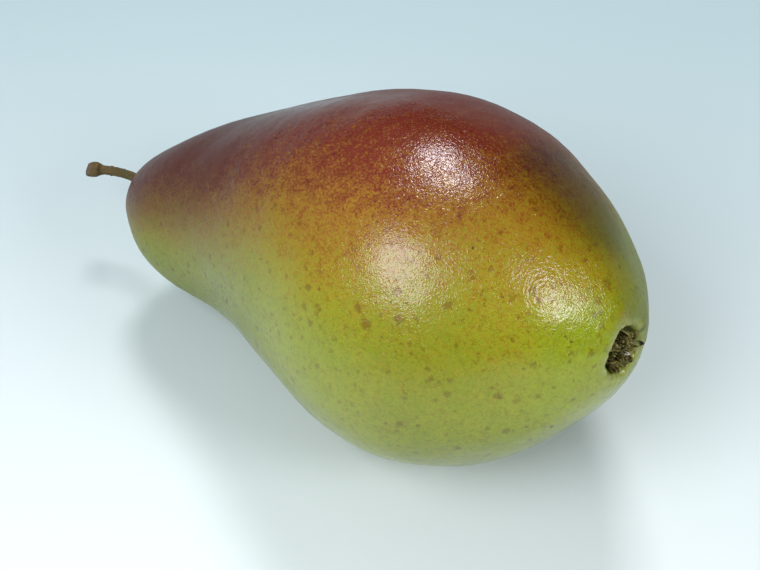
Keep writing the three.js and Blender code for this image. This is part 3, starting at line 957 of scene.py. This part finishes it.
def calyx_parts(look):
    """The bed, sepals, stamens, shreds and white-painted glint flakes of the calyx about the
    crown's middle.
    """
    chance = chances()

    # The bed: a rough, domed pad on the basin's floor.
    inward = np.linspace(1, 0.06, 24)
    bed_radius = np.append([DISC_RADIUS - 0.3, DISC_RADIUS], DISC_RADIUS * inward)[:, None]
    bed_height = np.append([GAP, GAP + 0.35], GAP + 0.9 + 1.7 * (1 - inward) ** 0.7)[:, None]
    bed = crown_points(bed_height, bed_radius, turns(72))
    rough = 0.3 * lumps(bed, 1.1, 31, 50) * (bed_height > GAP + 0.5)
    bed[..., 0] += rough
    parts = [husk_part(bed, 0.1 + 0.9 * rough)]

    looks = (
        {"fresh": 0.9, "tip": 1.0, "curl": 0.2}, {"fresh": 0.5}, {"fresh": 0.1}, {"fresh": 0.2}, {})
    for k, ((turn, width, line), own) in enumerate(zip(SEPALS, looks)):
        twist = 0.25 * (next(chance) - 0.5)
        wave = 2 * math.pi * next(chance)
        parts.append(blade(turn, width, line, look.blade / MM, twist, wave, 41 + 3 * k, **own))

    for k in range(STAMENS):
        height = 2 + 1.2 * next(chance)
        turn = 2 * math.pi * (k + 0.3 * next(chance)) / STAMENS
        root = (1.7 if k % 2 else 0.8) + 0.15 * next(chance)
        bend = 0.3 * next(chance)
        parts.append(thread(root, turn, height + 0.8, 0.17, bend, 0.3 * math.sin(7 * k), 0.2, 0.5))

    # Shreds of dried sepal and threads fill the basin nearly up to its rim.
    more = np.random.default_rng(12)
    draw = more.uniform
    for _ in range(THREADS):
        parts.append(thread(
            draw(0.3, 2.9), draw(0, 2 * math.pi), draw(2.4, 4.1), draw(0.06, 0.12), draw(-1.1, 0.9),
            draw(-1.4, 1.4), 0.12, draw(0.1, 1.5)))
    for k in range(SHREDS):
        turn, root = draw(0, 360), 3.1 * math.sqrt(draw(0.03, 1))
        top, lean = draw(3.2, 4.9), draw(-0.9, 1.1)
        if k % 3 == 0:  # these stand up along the far wall
            turn, root, top, lean = draw(-150, 45), draw(2.7, 3.3), draw(4.6, 5.6), 1.2
        lean = min(lean, 4.3 - root)
        shares = ((0, 0), (0.1, 0.4), (lean * 0.5, 0.8), (lean, 1))
        line = [(root + out, 1.3 + share * (top - 1.3)) for out, share in shares]
        fresh = more.choice([0, 0, 0, 0.35, 0.7])
        parts.append(blade(
            turn, draw(0.35, 1.25), line, draw(0.12, 0.22), draw(-0.5, 0.5), draw(0, 6), 90 + k,
            curl=0.25, fresh=fresh, tone=draw(-0.5, 0.9), rings=16, sides=12))
    # Flakes painted near-white: a painted highlight.
    for turn, line, width in FLAKES:
        parts.append(blade(
            turn, width, line, 0.14, 0.1, 1.0, 70 + turn, curl=0.1, pale=1.0, rings=14, sides=12))
    return parts


class PEAR_OT_calyx(bpy.types.Operator):
    """Add the dried calyx in the crown"""

    bl_idname = "pear.add_calyx"
    bl_label = "Calyx"

    def execute(self, context):
        look = context.scene.pear.calyx
        vertices, faces, fields = joined(calyx_parts(look))
        side, up = axis_offset(RIM_ALONG)
        vertices = placed(vertices, BODY[-1][0], side, up)
        shape = vertices, faces, dict(zip(HUSK_FIELDS, fields.T))
        add_piece("pear_calyx", shape, dried_finish(look), "calyx")
        return {"FINISHED"}


# ---- The stage
FLOOR_HALF = 3.0
FLOOR_BELOW = 0.0001  # just under the fruit's flat spot
# Painted shade: the floor's colour darkens and cools this way, for the light's falloff.
FLOOR_PAINTED_FADE = (-0.6, 0.8, 0.0)  # the floor's tone fades this way
FLOOR_PAINTED_FADE_REACH = (-110, 130)  # between these distances, in mm
# Soft lights: name, the place on the pear each one gleams on, direction from there, distance,
# width, power and colour.
LIGHTS = (
    ("window", (0.0241, -0.0038, 0.0722), (-0.376, 0.449, 0.81), 1.6, 0.40, 12.5, (1, 0.98, 1.01)),
    ("front_lamp", (0.0298, -0.0213, 0.0651), (-0.078, -0.661, 0.747), 0.38, 0.235, 1.3,
     (1, 1, 1.05)),
    ("side_lamp", (0.0530, -0.0076, 0.0610), (0.79, 0.13, 0.60), 0.5, 0.175, 1.12, (1, 1, 1.05)),
)
ROOM_BRIGHT_SIDE = (-0.35, -0.6, 0.72)  # the light from all round is stronger from here
ROOM_DARK_FROM = -0.3  # the cosine from that side where the light is least
ROOM_SHARES = (0.1, 2.4)  # of the room's strength: the least light and the most
CAMERA_AIM = (0.01420, -0.00804, 0.03459)
CAMERA_AZIMUTH, CAMERA_ELEVATION = math.radians(41.28), math.radians(51.96)
CAMERA_DISTANCE = 0.26655
CAMERA_ANGLE = math.radians(31)  # across the picture's width


def add_facing(name, data, aim, towards, distance):
    """A new object that faces a place from a direction and a distance."""
    made = add_object(name, data)
    towards = Vector(towards).normalized()
    made.location = Vector(aim) + towards * distance
    made.rotation_euler = towards.to_track_quat("Z", "Y").to_euler()
    return made


def light_room(look):
    """Light from all round, much stronger from the bright side than from the far one."""
    world = bpy.data.worlds.new("studio")
    world.use_nodes = True
    tree = world.node_tree
    towards = add_node(tree, "ShaderNodeTexCoord", {}).outputs["Generated"]
    facing = add_node(
        tree, "ShaderNodeVectorMath", {0: towards, 1: Vector(ROOM_BRIGHT_SIDE).normalized()},
        operation="DOT_PRODUCT")
    least, most = (share * look.room_strength for share in ROOM_SHARES)
    strength = add_node(tree, "ShaderNodeMapRange", {
        "Value": facing.outputs["Value"], "From Min": ROOM_DARK_FROM, "To Min": least,
        "To Max": most}, interpolation_type="SMOOTHSTEP")
    sky = {"Color": look.room, "Strength": strength.outputs["Result"]}
    connect(tree, tree.nodes["Background"], sky)
    bpy.context.scene.world = world


def add_floor(look):
    """A square of pale floor just under the pear."""
    mesh = bpy.data.meshes.new("floor")
    corners = ((-1, -1), (1, -1), (1, 1), (-1, 1))
    mesh.from_pydata(
        [(x * FLOOR_HALF, y * FLOOR_HALF, -FLOOR_BELOW) for x, y in corners], [], [(0, 1, 2, 3)])
    mesh.materials.append(floor_finish(look))
    add_object("floor", mesh)


def add_camera():
    """The camera, aimed at the pear from its azimuth and elevation."""
    lens = bpy.data.cameras.new("camera")
    lens.sensor_width = 36
    lens.lens = lens.sensor_width / 2 / math.tan(CAMERA_ANGLE / 2)
    lens.clip_start, lens.clip_end = 0.01, 20
    level = math.cos(CAMERA_ELEVATION)
    back = (math.sin(CAMERA_AZIMUTH) * level, -math.cos(CAMERA_AZIMUTH) * level,
            math.sin(CAMERA_ELEVATION))
    bpy.context.scene.camera = add_facing("camera", lens, CAMERA_AIM, back, CAMERA_DISTANCE)


class PEAR_OT_stage(bpy.types.Operator):
    """Add the floor, lights and camera"""

    bl_idname = "pear.add_stage"
    bl_label = "Stage"

    def execute(self, context):
        look = context.scene.pear.stage
        add_floor(look)
        light_room(look)
        for name, gleam, direction, distance, width, power, colour in LIGHTS:
            lamp = bpy.data.lights.new(name, "AREA")
            lamp.shape, lamp.size, lamp.energy, lamp.color = "SQUARE", width, power, colour
            add_facing(name, lamp, gleam, direction, distance)
        add_camera()
        context.scene.view_settings.view_transform = "Standard"
        context.scene.view_settings.look = "None"
        return {"FINISHED"}


# ---- The add-on
class PearSettings(bpy.types.PropertyGroup):
    """All settings of the pear."""

    fruit: bpy.props.PointerProperty(type=FruitSettings)
    stem: bpy.props.PointerProperty(type=StemSettings)
    calyx: bpy.props.PointerProperty(type=CalyxSettings)
    stage: bpy.props.PointerProperty(type=StageSettings)


class PEAR_PT_panel(bpy.types.Panel):
    """Settings and pieces of the pear"""

    bl_idname = "PEAR_PT_panel"
    bl_label = "Pear"
    bl_space_type = "VIEW_3D"
    bl_region_type = "UI"
    bl_category = "Pear"

    def draw(self, context):
        for operator in OPERATORS:
            group = getattr(context.scene.pear, operator.bl_label.lower())
            box = self.layout.box()
            box.label(text=operator.bl_label)
            for key in group.__annotations__:
                box.prop(group, key)
            box.operator(operator.bl_idname)


OPERATORS = (PEAR_OT_fruit, PEAR_OT_stem, PEAR_OT_calyx, PEAR_OT_stage)
CLASSES = (
    FruitSettings, StemSettings, CalyxSettings, StageSettings, PearSettings, *OPERATORS,
    PEAR_PT_panel,
)


def register():
    """Registers the classes and puts the settings on the scene."""
    for each in CLASSES:
        bpy.utils.register_class(each)
    bpy.types.Scene.pear = bpy.props.PointerProperty(type=PearSettings)


def unregister():
    """Takes the settings and the classes away again."""
    del bpy.types.Scene.pear
    for each in reversed(CLASSES):
        bpy.utils.unregister_class(each)


def main():
    """Builds every piece and the stage."""
    register()
    bpy.ops.pear.add_fruit()
    bpy.ops.pear.add_stem()
    bpy.ops.pear.add_calyx()
    bpy.ops.pear.add_stage()


if __name__ == "__main__":
    main()
